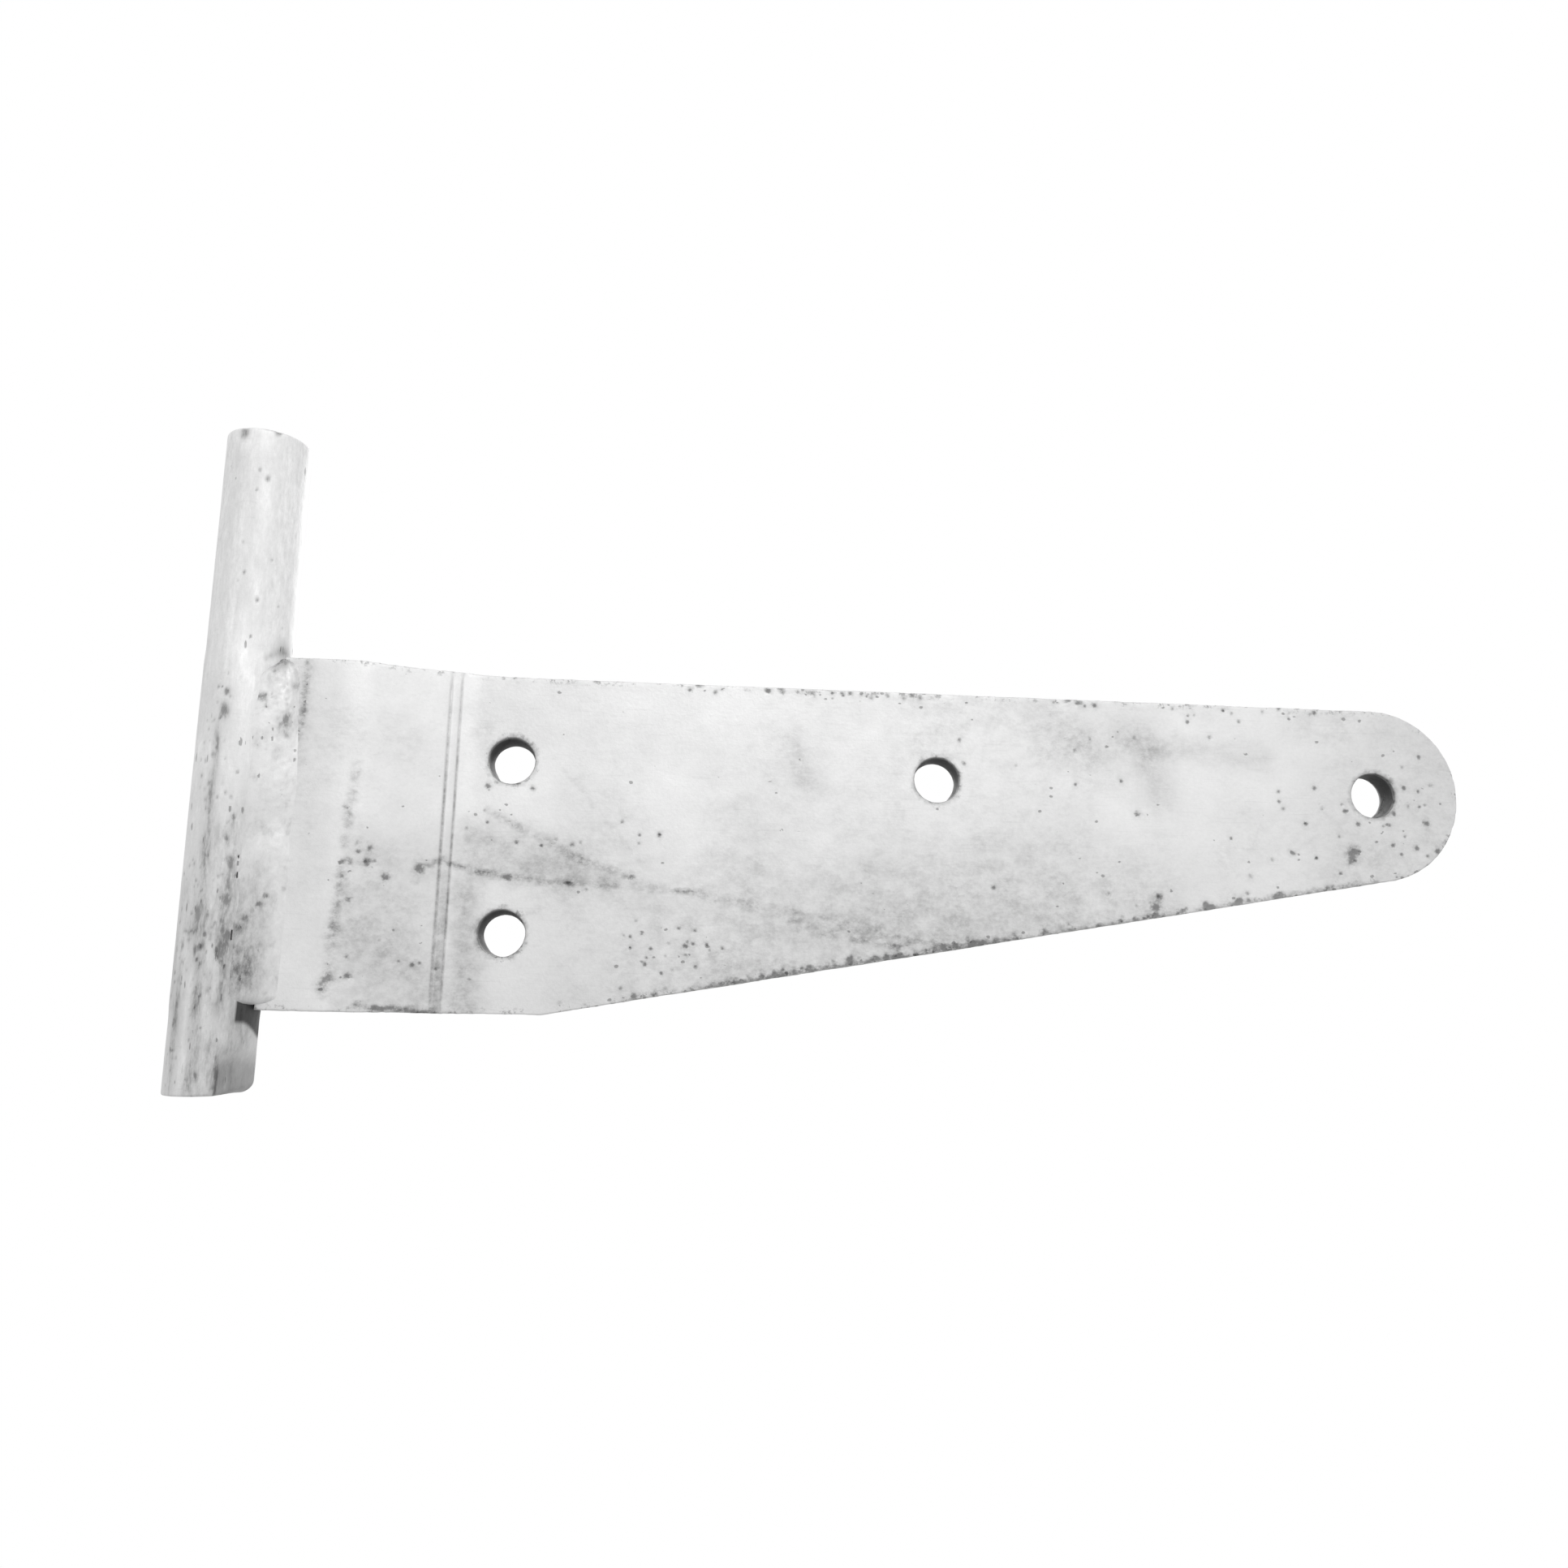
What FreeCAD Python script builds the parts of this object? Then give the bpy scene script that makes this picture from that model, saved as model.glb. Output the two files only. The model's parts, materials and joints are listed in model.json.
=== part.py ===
import FreeCAD, Part
import math
import os
import Sketcher

# T hinge strap: a cranked, tapering flat strap welded to the side of a round hinge pin.
#
# Frame: the pin's axis is Z, with the long upper journal pointing up. The strap runs along
# +X from the pin to its rounded tip. The strap's bolted face looks along +Y and its open
# face along -Y. The origin is on the pin's axis, level with the strap's top edge, which is
# where the upper journal begins.

DIMENSIONS = (
    # alias, millimetres, meaning
    ("pin_diameter", 20.4, "hinge pin where the strap is welded to it, zinc included"),
    ("journal_diameter", 20, "hinge pin above and below the strap, dressed to run in its eyes"),
    ("upper_journal", 57, "pin above the strap's top edge"),
    ("lower_journal", 20, "pin below the strap's bottom edge"),
    ("end_chamfer", 1, "broken edge at both ends of the pin"),
    ("thickness", 8, "thickness of the strap"),
    ("root_width", 86, "height of the strap where it meets the pin"),
    ("crank_rise", 12, "offset of the bolted length from the welded end"),
    ("crank_start", 28, "pin axis to the first bend, on the open face"),
    ("crank_finish", 54, "pin axis to the second bend, on the open face"),
    ("bend_radius", 14, "inside radius of both bends"),
    ("taper_start", 76, "pin axis to the corner where the lower edge begins to rise"),
    ("tip_radius", 23, "round tip, centred on the tip hole"),
    ("hole_diameter", 12, "bolt holes, for M10 bolts with room for zinc"),
    ("pair_distance", 65, "pin axis to the vertical pair of holes"),
    ("pair_drop", 22, "top edge to the upper hole of the pair"),
    ("pair_pitch", 44, "between the two holes of the pair"),
    ("middle_distance", 175, "pin axis to the middle hole"),
    ("tip_distance", 292, "pin axis to the tip hole"),
    ("line_drop", 23, "top edge to the middle and tip holes"),
    ("weld_pin_toe", 5.4, "pin axis to the edge of a weld on the pin, along the strap"),
    ("weld_strap_toe", 14.6, "pin axis to the edge of a weld on the strap"),
    ("weld_root", 2, "pin axis to the root of a weld, across the strap"),
    ("weld_crown", 1, "height of a weld's bulge over its straight face"),
    ("weld_setback", 1, "bare strap left at each end of a weld"),
    ("overcut", 10, "how far the outline's cut runs past the blank strap"),
)

doc = FreeCAD.newDocument("t_hinge")
sheet = doc.addObject("Spreadsheet::Sheet", "Sheet")
for row, (alias, value, meaning) in enumerate(DIMENSIONS, start=1):
    sheet.set("A%d" % row, meaning)
    sheet.set("B%d" % row, str(value))
    sheet.setAlias("B%d" % row, alias)
doc.recompute()

SKETCH_ORIGIN = (-1, 1)
START, END, CENTRE = 1, 2, 3


def size(alias):
    return float(sheet.get(alias))


# ---- sketch tools ----

def new_body(name):
    body = doc.addObject("PartDesign::Body", name)
    body.Label = name
    body.Placement = FreeCAD.Placement()
    return body


def new_sketch(body, name, plane_role, raised=None):
    """A sketch on one of the body's own origin planes, raised along its normal by a formula."""
    sketch = body.newObject("Sketcher::SketchObject", name)
    planes = [item for item in body.Origin.OriginFeatures if item.Role == plane_role]
    sketch.AttachmentSupport = [(planes[0], "")]
    sketch.MapMode = "FlatFace"
    if raised:
        sketch.setExpression("AttachmentOffset.Base.z", raised)
    return sketch


def point(across, up):
    return FreeCAD.Vector(across, up, 0)


def line(start, end):
    return Part.LineSegment(point(*start), point(*end))


def arc(start, middle, end):
    """An arc of a circle through three points."""
    return Part.Arc(point(*start), point(*middle), point(*end))


def closed_outline(sketch, pieces, smooth_before=()):
    """Add lines and arcs that follow one another, and join their ends.

    A piece listed in smooth_before is also tangent to the piece that leads into it.
    """
    added = [sketch.addGeometry(piece, False) for piece in pieces]
    for first, second in zip(added, added[1:] + added[:1]):
        pairs = [(a, b) for a in (START, END) for b in (START, END)]
        nearest = min(pairs, key=lambda pair: sketch.getPoint(first, pair[0]).distanceToPoint(
            sketch.getPoint(second, pair[1])))
        kind = "Tangent" if second in smooth_before else "Coincident"
        sketch.addConstraint(Sketcher.Constraint(kind, first, nearest[0], second, nearest[1]))


def relate(sketch, kind, *geometries):
    """Add the same geometric constraint, such as Horizontal, to each of the geometries."""
    for geometry in geometries:
        sketch.addConstraint(Sketcher.Constraint(kind, geometry))


def dimension(sketch, name, kind, formula, *references):
    """Add a driving dimension and bind it to the sheet."""
    result = sketch.evalExpression(formula)
    value = float(getattr(result, "Value", result))
    index = sketch.addConstraint(Sketcher.Constraint(kind, *references, value))
    sketch.renameConstraint(index, name)
    sketch.setExpression("Constraints." + name, formula)


def place(sketch, name, geometry, end, across=None, up=None):
    """Fix a point by its distances from the origin; a minus in front turns the direction."""
    for axis, formula in (("X", across), ("Y", up)):
        if formula is None:
            continue
        references = SKETCH_ORIGIN + (geometry, end)
        if formula.startswith("-"):
            references = (geometry, end) + SKETCH_ORIGIN
            formula = formula[1:]
        dimension(sketch, name + "_" + axis.lower(), "Distance" + axis, formula, *references)


def fillet(body, name, base, corners, radius):
    """Round the upright edges of base that stand at the given corners."""
    doc.recompute()
    names = []
    for number, edge in enumerate(base.Shape.Edges, start=1):
        middle = edge.CenterOfMass
        upright = edge.BoundBox.ZLength > size("root_width") / 2
        if upright and any(math.hypot(middle.x - x, middle.y - y) < 0.1 for x, y in corners):
            names.append("Edge%d" % number)
    rounded = body.newObject("PartDesign::Fillet", name)
    rounded.Base = (base, names)
    rounded.setExpression("Radius", radius)
    return rounded


# ---- hinge pin ----

def make_pin():
    """A turned bar: lower journal, welded length and upper journal, with broken ends."""
    barrel, journal = size("pin_diameter") / 2, size("journal_diameter") / 2
    chamfer = size("end_chamfer")
    root = -size("root_width")
    foot, head = root - size("lower_journal"), size("upper_journal")
    corners = [
        (0, foot), (journal - chamfer, foot), (journal, foot + chamfer), (journal, root),
        (barrel, root), (barrel, 0),
        (journal, 0), (journal, head - chamfer), (journal - chamfer, head), (0, head),
    ]
    body = new_body("hinge_pin")
    sketch = new_sketch(body, "pin_half_section", "XZ_Plane")
    closed_outline(sketch, [line(a, b) for a, b in zip(corners, corners[1:] + corners[:1])])
    (foot_face, foot_chamfer, lower, lower_shoulder, middle, upper_shoulder, upper,
     head_chamfer, head_face, axis) = range(len(corners))

    relate(sketch, "Horizontal", foot_face, lower_shoulder, upper_shoulder, head_face)
    relate(sketch, "Vertical", lower, middle, upper, axis)
    half_journal = "Sheet.journal_diameter / 2"
    place(sketch, "foot", foot_face, START, across="0",
          up="-(Sheet.root_width + Sheet.lower_journal)")
    place(sketch, "foot_edge", foot_face, END, across=half_journal + " - Sheet.end_chamfer")
    place(sketch, "lower", lower, START, across=half_journal,
          up="-(Sheet.root_width + Sheet.lower_journal - Sheet.end_chamfer)")
    place(sketch, "middle", middle, START, across="Sheet.pin_diameter / 2",
          up="-Sheet.root_width")
    place(sketch, "upper", upper, START, across=half_journal, up="0")
    place(sketch, "upper_end", upper, END, up="Sheet.upper_journal - Sheet.end_chamfer")
    place(sketch, "head", head_face, START, across=half_journal + " - Sheet.end_chamfer",
          up="Sheet.upper_journal")

    turned = body.newObject("PartDesign::Revolution", "turned_bar")
    turned.Profile = sketch
    turned.ReferenceAxis = (sketch, ["V_Axis"])
    turned.Angle = 360
    return body


# ---- strap plate ----

def strap_corners():
    """The sharp corners of the cranked section, seen from above, before it is rounded."""
    half = size("thickness") / 2
    rise = size("crank_rise")
    start, finish = size("crank_start"), size("crank_finish")
    butt = size("pin_diameter") / 2
    tip = size("tip_distance") + size("tip_radius")
    shift = size("thickness") * math.tan(math.atan2(rise, finish - start) / 2)
    open_face = [(butt, -half), (start, -half), (finish, rise - half), (tip, rise - half)]
    bolted_face = [(tip, rise + half), (finish - shift, rise + half),
                   (start - shift, half), (butt, half)]
    return open_face, bolted_face


def make_strap_section(body):
    """Eight sides: three along the open face, the tip, three back and the butted end."""
    open_face, bolted_face = strap_corners()
    corners = open_face + bolted_face
    sketch = new_sketch(body, "crank_section", "XY_Plane", "-Sheet.root_width")
    closed_outline(sketch, [line(a, b) for a, b in zip(corners, corners[1:] + corners[:1])])
    open_end, open_ramp, open_run, tip, bolted_run, bolted_ramp, bolted_end, butt = range(8)

    relate(sketch, "Horizontal", open_end, open_run, bolted_run, bolted_end)
    relate(sketch, "Vertical", tip, butt)
    sketch.addConstraint(Sketcher.Constraint("Parallel", open_ramp, bolted_ramp))
    dimension(sketch, "ramp_thickness", "Distance", "Sheet.thickness",
              bolted_ramp, START, open_ramp)
    place(sketch, "butt", open_end, START,
          across="Sheet.pin_diameter / 2", up="-Sheet.thickness / 2")
    place(sketch, "start", open_end, END, across="Sheet.crank_start")
    place(sketch, "finish", open_ramp, END, across="Sheet.crank_finish",
          up="Sheet.crank_rise - Sheet.thickness / 2")
    place(sketch, "tip", tip, START, across="Sheet.tip_distance + Sheet.tip_radius")
    dimension(sketch, "run_thickness", "DistanceY", "Sheet.thickness", tip, START, tip, END)
    place(sketch, "back", bolted_end, END, up="Sheet.thickness / 2")
    return sketch


def make_strap():
    body = new_body("strap_plate")
    blank = body.newObject("PartDesign::Pad", "cranked_blank")
    blank.Profile = make_strap_section(body)
    blank.setExpression("Length", "Sheet.root_width")
    open_face, bolted_face = strap_corners()
    inside = fillet(body, "inside_bends", blank, (open_face[2], bolted_face[2]),
                    "Sheet.bend_radius")
    outside = fillet(body, "outside_bends", inside, (open_face[1], bolted_face[1]),
                     "Sheet.bend_radius + Sheet.thickness")
    doc.recompute()
    cut_taper(body)
    cut_holes(body)
    return body, outside


def cut_taper(body):
    """Cut away everything past the tip's round and under the rising lower edge."""
    width, start = size("root_width"), size("taper_start")
    centre, radius = (size("tip_distance"), -size("line_drop")), size("tip_radius")
    reach = math.hypot(centre[0] - start, centre[1] + width)
    rise = math.atan2(centre[1] + width, centre[0] - start)
    slope = rise - math.asin(radius / reach)
    on_round = [(centre[0] + radius * math.sin(turn), centre[1] - radius * math.cos(turn))
                for turn in (slope, (slope + math.pi) / 2, math.pi)]
    over = size("overcut")
    right, bottom = centre[0] + radius + over, -width - over
    outline = [
        arc(*on_round),
        line(on_round[2], (centre[0], over)),
        line((centre[0], over), (right, over)),
        line((right, over), (right, bottom)),
        line((right, bottom), (start, bottom)),
        line((start, bottom), (start, -width)),
        line((start, -width), on_round[0]),
    ]
    sketch = new_sketch(body, "taper_and_tip", "XZ_Plane")
    closed_outline(sketch, outline, smooth_before=(0,))
    tip_round, above, top, beyond, floor, below, taper = range(len(outline))

    relate(sketch, "Vertical", above, beyond, below)
    relate(sketch, "Horizontal", top, floor)
    place(sketch, "centre", tip_round, CENTRE, across="Sheet.tip_distance",
          up="-Sheet.line_drop")
    dimension(sketch, "tip_radius", "Radius", "Sheet.tip_radius", tip_round)
    place(sketch, "above", above, START, across="Sheet.tip_distance")
    place(sketch, "beyond", beyond, START,
          across="Sheet.tip_distance + Sheet.tip_radius + Sheet.overcut", up="Sheet.overcut")
    place(sketch, "below", below, START, up="-(Sheet.root_width + Sheet.overcut)")
    place(sketch, "taper", taper, START, across="Sheet.taper_start", up="-Sheet.root_width")

    pocket = body.newObject("PartDesign::Pocket", "outline_cut")
    pocket.Profile = sketch
    pocket.Type = "ThroughAll"
    pocket.Midplane = True


def cut_holes(body):
    """Four bolt holes: an upright pair at the root, one midway and one at the tip."""
    holes = (
        ("upper", "Sheet.pair_distance", "Sheet.pair_drop"),
        ("lower", "Sheet.pair_distance", "(Sheet.pair_drop + Sheet.pair_pitch)"),
        ("middle", "Sheet.middle_distance", "Sheet.line_drop"),
        ("tip", "Sheet.tip_distance", "Sheet.line_drop"),
    )
    sketch = new_sketch(body, "bolt_holes", "XZ_Plane")
    for number, (name, across, drop) in enumerate(holes):
        centre = point(float(sketch.evalExpression(across)), -float(sketch.evalExpression(drop)))
        circle = Part.Circle(centre, FreeCAD.Vector(0, 0, 1), size("hole_diameter") / 2)
        sketch.addGeometry(circle, False)
        place(sketch, name, number, CENTRE, across=across, up="-" + drop)
        dimension(sketch, name + "_bore", "Diameter", "Sheet.hole_diameter", number)

    pocket = body.newObject("PartDesign::Pocket", "bolt_hole_cut")
    pocket.Profile = sketch
    pocket.Type = "ThroughAll"
    pocket.Midplane = True


# ---- welds ----

def make_weld(name, side):
    """A fillet weld between the pin and one face of the strap; side is -1 on the open face."""
    radius, half = size("pin_diameter") / 2, size("thickness") / 2
    root = size("weld_root")
    on_pin = [(across, side * math.sqrt(radius ** 2 - across ** 2)) for across in (
        size("weld_pin_toe"), (size("weld_pin_toe") + radius) / 2)]
    root_on_pin = (math.sqrt(radius ** 2 - root ** 2), side * root)
    strap_toe = (size("weld_strap_toe"), side * half)
    run = (strap_toe[0] - on_pin[0][0], strap_toe[1] - on_pin[0][1])
    bulge = size("weld_crown") / math.hypot(*run)
    crown = ((on_pin[0][0] + strap_toe[0]) / 2 - side * run[1] * bulge,
             (on_pin[0][1] + strap_toe[1]) / 2 + side * run[0] * bulge)
    outline = [
        arc(on_pin[0], on_pin[1], root_on_pin),
        line(root_on_pin, (radius, side * root)),
        line((radius, side * root), (radius, side * half)),
        line((radius, side * half), strap_toe),
        arc(strap_toe, crown, on_pin[0]),
    ]
    body = new_body(name)
    sketch = new_sketch(body, name + "_section", "XY_Plane",
                        "-(Sheet.root_width - Sheet.weld_setback)")
    closed_outline(sketch, outline)
    on_bar, root_line, butt_line, strap_line, face = range(len(outline))

    sign = "-" if side < 0 else ""
    sketch.addConstraint(Sketcher.Constraint("Coincident", on_bar, CENTRE, *SKETCH_ORIGIN))
    dimension(sketch, "pin_radius", "Radius", "Sheet.pin_diameter / 2", on_bar)
    relate(sketch, "Horizontal", root_line, strap_line)
    relate(sketch, "Vertical", butt_line)
    place(sketch, "root", butt_line, START, across="Sheet.pin_diameter / 2",
          up=sign + "Sheet.weld_root")
    place(sketch, "strap_toe", strap_line, END, across="Sheet.weld_strap_toe",
          up=sign + "Sheet.thickness / 2")
    toe_end = min((START, END), key=lambda end: sketch.getPoint(on_bar, end).x)
    place(sketch, "pin_toe", on_bar, toe_end, across="Sheet.weld_pin_toe")
    dimension(sketch, "face_radius", "Radius", face_radius_formula(), face)

    pad = body.newObject("PartDesign::Pad", name + "_bead")
    pad.Profile = sketch
    pad.setExpression("Length", "Sheet.root_width - 2 * Sheet.weld_setback")
    return body


def face_radius_formula():
    """Radius of the arc whose chord joins the weld's toes and whose height is its crown."""
    chord_across = "(Sheet.weld_strap_toe - Sheet.weld_pin_toe)"
    chord_up = ("(sqrt((Sheet.pin_diameter / 2) ^ 2 - Sheet.weld_pin_toe ^ 2)"
                " - Sheet.thickness / 2)")
    chord_squared = "(%s ^ 2 + %s ^ 2)" % (chord_across, chord_up)
    return "Sheet.weld_crown / 2 + %s / (8 * Sheet.weld_crown)" % chord_squared


# ---- build, check and write ----

def check(bodies):
    """Stop if any object failed to compute or any sub-part isn't one sound solid."""
    for item in doc.Objects:
        if "Invalid" in item.State or "Error" in item.State:
            raise RuntimeError("%s did not compute: %s" % (item.Name, item.State))
    for body in bodies:
        shape = body.Shape
        if shape.isNull() or not shape.isValid() or len(shape.Solids) != 1:
            raise RuntimeError("%s is not one valid solid" % body.Label)


strap, uncut = make_strap()
bodies = [strap, make_pin(), make_weld("front_weld", -1), make_weld("rear_weld", 1)]
doc.recompute()
check(bodies)
if strap.Shape.Volume >= uncut.Shape.Volume:
    raise RuntimeError("the outline and the holes took nothing off the strap")

os.makedirs("parts", exist_ok=True)
for body in bodies:
    body.Shape.exportStep("parts/%s.step" % body.Label)
    print("%s: %.0f cubic mm" % (body.Label, body.Shape.Volume))
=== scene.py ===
import json
import math
import random

import bpy
import numpy as np
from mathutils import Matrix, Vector, noise
from mathutils.geometry import delaunay_2d_cdt


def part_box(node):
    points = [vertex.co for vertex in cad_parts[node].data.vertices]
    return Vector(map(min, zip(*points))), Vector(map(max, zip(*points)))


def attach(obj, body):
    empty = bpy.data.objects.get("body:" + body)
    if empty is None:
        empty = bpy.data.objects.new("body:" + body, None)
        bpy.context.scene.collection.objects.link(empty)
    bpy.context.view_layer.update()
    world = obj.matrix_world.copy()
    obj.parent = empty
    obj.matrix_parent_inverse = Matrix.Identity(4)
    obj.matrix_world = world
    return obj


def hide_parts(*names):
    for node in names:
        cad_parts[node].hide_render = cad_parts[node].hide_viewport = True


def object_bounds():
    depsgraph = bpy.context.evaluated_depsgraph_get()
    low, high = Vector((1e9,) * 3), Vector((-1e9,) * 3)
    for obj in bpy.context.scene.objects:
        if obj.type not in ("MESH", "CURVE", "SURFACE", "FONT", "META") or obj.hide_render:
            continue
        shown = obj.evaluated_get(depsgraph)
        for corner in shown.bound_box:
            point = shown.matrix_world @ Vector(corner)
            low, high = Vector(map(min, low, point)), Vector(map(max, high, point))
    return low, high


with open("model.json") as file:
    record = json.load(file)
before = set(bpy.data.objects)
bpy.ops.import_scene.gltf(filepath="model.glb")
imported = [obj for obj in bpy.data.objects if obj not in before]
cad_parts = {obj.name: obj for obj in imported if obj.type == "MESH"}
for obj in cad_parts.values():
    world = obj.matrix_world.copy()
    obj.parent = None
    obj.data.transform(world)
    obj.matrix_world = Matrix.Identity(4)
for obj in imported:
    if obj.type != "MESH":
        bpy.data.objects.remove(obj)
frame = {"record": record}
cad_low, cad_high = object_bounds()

# A galvanised T hinge strap: a cranked, tapering plate welded to the side of a round pin.
#
# Lengths are in millimetres, in the row frame, until new_piece() turns them into metres.
# The pin's axis is Z. The plate runs along +X, its open face looks along -Y and its bolted
# face along +Y. Angles round the pin are in degrees from +X, so -90 looks along -Y.

MM = 0.001
SEED = 7


def box_mm(node):
    """A CAD node's lowest and highest corners."""
    low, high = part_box(node)
    return low / MM, high / MM


def mount_mm(name):
    """Where a mount sits on the plate, as its distance from the pin's axis and its height."""
    mount = next(item for item in frame["record"]["mounts"] if item["name"] == name)
    return mount["pos_m"][0] / MM, mount["pos_m"][2] / MM


STRAP_LOW, STRAP_HIGH = box_mm("strap_plate")
PIN_LOW, PIN_HIGH = box_mm("hinge_pin")
WELD_LOW, WELD_HIGH = box_mm("front_weld")

PLATE = 8.0
HALF = PLATE / 2
CRANK_START, CRANK_FINISH = 28.0, 54.0
INNER_BEND = 14.0
BEND_RADIUS = INNER_BEND + HALF
CRANK_RISE = STRAP_HIGH.y - STRAP_LOW.y - PLATE
BUTT = STRAP_LOW.x
WIDTH = STRAP_HIGH.z - STRAP_LOW.z
TAPER_START = 76.0
TIP_RADIUS = 23.0
BORE_RADIUS, BORE_ZINC = 6.0, 0.1
HOLE_RADIUS = BORE_RADIUS - BORE_ZINC
# How far zinc hangs into each hole: the upper and lower of the pair, the middle one, the tip's.
HOLE_RUNS = (1.1, 1.1, 0.7, 0.3)
PAIR_PITCH = 44.0
BARREL = PIN_HIGH.x
JOURNAL = 10.0


# ---- small tools ----

def smooth(value, low, high):
    """0 below low, 1 above high and an even curve between."""
    share = np.clip((np.asarray(value, float) - low) / (high - low), 0, 1)
    return share * share * (3 - 2 * share)


def bell(distance, width):
    """1 at no distance, falling away evenly on both sides."""
    return np.exp(-(np.asarray(distance, float) / width) ** 2)


def turn_from(start, angle):
    """How far round an angle is from the start, from -180 to 180 degrees."""
    return (angle - start + 180) % 360 - 180


def waves(points, length, seed=0.0, detail=3):
    """Smooth noise from about -1 to 1 at each point, its bumps about one length apart."""
    shift = Vector((seed * 17.3, seed * 5.1, -seed * 9.7))
    return np.array([noise.fractal(Vector(p) / length + shift, 0.7, 2.1, detail) for p in points])


def new_piece(name, points, faces, slot, node, **attributes):
    """A mesh that stands for a CAD node, with one float attribute for each keyword."""
    mesh = bpy.data.meshes.new(name)
    mesh.from_pydata([tuple(p * MM) for p in points], [], faces)
    mesh.validate()
    for key, values in attributes.items():
        layer = mesh.attributes.new(key, "FLOAT", "POINT")
        layer.data.foreach_set("value", np.asarray(values, np.float32))
    mesh.shade_smooth()
    mesh.update()
    piece = bpy.data.objects.new(name, mesh)
    bpy.context.scene.collection.objects.link(piece)
    weighted = piece.modifiers.new("even_normals", "WEIGHTED_NORMAL")
    weighted.mode = "FACE_AREA"
    weighted.keep_sharp = True
    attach(piece, "root")
    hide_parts(node)
    return piece


# ---- the crank: where a point of the flat plate goes once the plate is bent ----

TURN = math.atan2(CRANK_RISE, CRANK_FINISH - CRANK_START)
SHIFT = HALF * math.tan(TURN / 2)
REACH = BEND_RADIUS * math.tan(TURN / 2)
FIRST_BEND = CRANK_START - SHIFT - REACH
LAST_BEND = CRANK_FINISH - SHIFT + REACH
BEND_LENGTH = BEND_RADIUS * TURN
RAMP_LENGTH = math.hypot(CRANK_RISE, CRANK_FINISH - CRANK_START) - 2 * REACH
FLAT_BUTT = LAST_BEND - (FIRST_BEND - BUTT) - 2 * BEND_LENGTH - RAMP_LENGTH
RAMP_START = LAST_BEND - BEND_LENGTH - RAMP_LENGTH


def bend(along, height, up):
    """Bend flat points: along the plate, height above its middle towards +Y, and up.

    Past the last bend, the distance along the plate is the distance from the pin's axis.
    """
    along, height = np.asarray(along, float), np.asarray(height, float)
    from_end = LAST_BEND - along
    lean = np.clip(from_end / BEND_RADIUS, 0, TURN)
    first = np.clip((RAMP_START - along) / BEND_RADIUS, 0, TURN)
    lean_all = lean - first
    ramp = np.clip(from_end - BEND_LENGTH, 0, RAMP_LENGTH)
    lead = np.clip(RAMP_START - BEND_LENGTH - along, 0, None)
    blade = np.clip(-from_end, 0, None)
    middle_x = (LAST_BEND + blade - BEND_RADIUS * np.sin(lean) - ramp * math.cos(TURN)
                - BEND_RADIUS * (math.sin(TURN) - np.sin(TURN - first)) - lead)
    middle_y = (CRANK_RISE - BEND_RADIUS * (1 - np.cos(lean)) - ramp * math.sin(TURN)
                - BEND_RADIUS * (np.cos(TURN - first) - math.cos(TURN)))
    return np.stack([middle_x - height * np.sin(lean_all),
                     middle_y + height * np.cos(lean_all), np.asarray(up, float)], -1)


def flat_distance(x):
    """The distance along the plate of a point of the open face, x from the pin's axis."""
    along = np.linspace(FLAT_BUTT, LAST_BEND + PLATE, 400)
    return float(np.interp(x, bend(along, -HALF, 0 * along)[:, 0], along))


# ---- the plate's flat outline ----

OUTLINE_STEP = 1.0
HOLE_POINTS = 60


def plate_outline():
    """Corners of the flat plate in order, with its material on the left: butt, taper, tip."""
    tip = Vector(mount_mm("tip_bolt"))
    corner = Vector((TAPER_START, -WIDTH))
    to_tip = tip - corner
    slope = math.atan2(to_tip.y, to_tip.x) - math.asin(TIP_RADIUS / to_tip.length)
    turns = np.linspace(slope - math.pi / 2, math.pi / 2, 70)
    round_tip = [(tip.x + TIP_RADIUS * math.cos(t), tip.y + TIP_RADIUS * math.sin(t))
                 for t in turns]
    return [(FLAT_BUTT, -WIDTH), tuple(corner)] + round_tip + [(FLAT_BUTT, 0.0)]


def hole_centres():
    """The pair near the pin, upper one first, then the middle hole and the tip's."""
    root_x, root_z = mount_mm("root_bolts")
    return [(root_x, root_z + PAIR_PITCH / 2), (root_x, root_z - PAIR_PITCH / 2),
            mount_mm("middle_bolt"), mount_mm("tip_bolt")]


def divided(corners, step):
    """A closed outline's points, no further than step apart."""
    points = []
    for a, b in zip(corners, corners[1:] + corners[:1]):
        count = max(1, round(math.dist(a, b) / step))
        points += [(a[0] + (b[0] - a[0]) * i / count, a[1] + (b[1] - a[1]) * i / count)
                   for i in range(count)]
    return np.array(points)


def inward(loop):
    """At each point of a closed loop, the direction into the material on its left."""
    ahead = np.roll(loop, -1, 0) - loop
    ahead /= np.linalg.norm(ahead, axis=1)[:, None]
    left = np.stack([-ahead[:, 1], ahead[:, 0]], 1)
    before = np.roll(left, 1, 0)
    return (left + before) / (1 + (left * before).sum(1))[:, None]


def distance_to_loop(points, loop):
    """Distance from each point to the nearest point of a finely divided loop."""
    nearest = np.full(len(points), np.inf)
    for a, b in zip(loop, np.roll(loop, -1, 0)):
        run = b - a
        share = np.clip(((points - a) @ run) / (run @ run), 0, 1)
        nearest = np.minimum(nearest, np.linalg.norm(points - a - share[:, None] * run, axis=1))
    return nearest


def inside(points, loop):
    """True for each point inside a closed loop."""
    odd = np.zeros(len(points), bool)
    for a, b in zip(loop, np.roll(loop, -1, 0)):
        if a[1] == b[1]:
            continue
        crosses = (a[1] > points[:, 1]) != (b[1] > points[:, 1])
        at = a[0] + (b[0] - a[0]) * (points[:, 1] - a[1]) / (b[1] - a[1])
        odd ^= crosses & (points[:, 0] < at)
    return odd


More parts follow.
